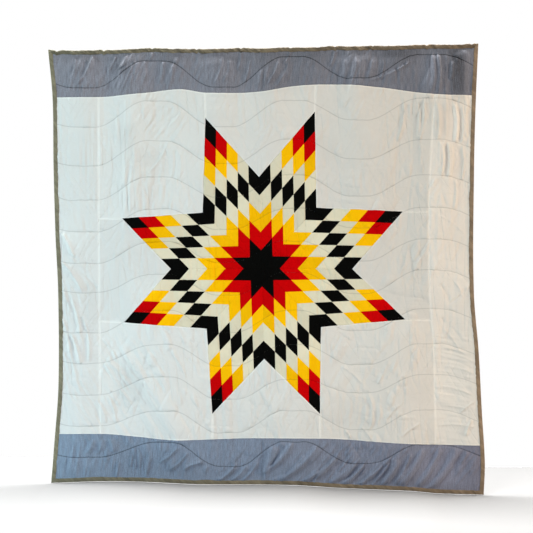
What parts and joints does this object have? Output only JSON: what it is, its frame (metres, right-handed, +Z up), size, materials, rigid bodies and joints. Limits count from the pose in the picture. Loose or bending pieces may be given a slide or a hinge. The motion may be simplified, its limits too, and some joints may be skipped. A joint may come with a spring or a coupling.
{
  "type": "star quilt blanket",
  "caption": "Hand-quilted patchwork blanket with an eight-pointed star of diamonds, bands at top and bottom and a bound edge, hung by its top edge.",
  "frame": {"origin": "middle of the top edge, where what holds the quilt takes its weight", "axes": "+X to the right of someone facing the quilt, +Y from its face to its back, +Z up"},
  "size_m": [1.8786, 0.039, 1.9415],
  "materials": {
    "white_cotton": "matt plain-weave cotton, off-white, quilted and slightly puckered",
    "chambray": "matt grey-blue chambray with fine vertical streaks",
    "star_patchwork": "matt cotton diamonds in red, black, yellow and cream",
    "binding": "folded cotton bias tape, olive grey, slightly creased"
  },
  "bodies": {
    "root": {"ground_top": "white_cotton", "ground_top_right": "white_cotton", "ground_right": "white_cotton", "ground_bottom_right": "white_cotton", "ground_bottom": "white_cotton", "ground_bottom_left": "white_cotton", "ground_left": "white_cotton", "ground_top_left": "white_cotton", "side_strip_left": "white_cotton", "side_strip_right": "white_cotton", "band_top_left": "chambray", "band_top_right": "chambray", "band_bottom_left": "chambray", "band_bottom_right": "chambray", "star_point_1": "star_patchwork", "star_point_2": "star_patchwork", "star_point_3": "star_patchwork", "star_point_4": "star_patchwork", "star_point_5": "star_patchwork", "star_point_6": "star_patchwork", "star_point_7": "star_patchwork", "star_point_8": "star_patchwork", "binding_left": "binding", "binding_right": "binding", "binding_top": "binding", "binding_bottom": "binding"}
  },
  "joints": []
}
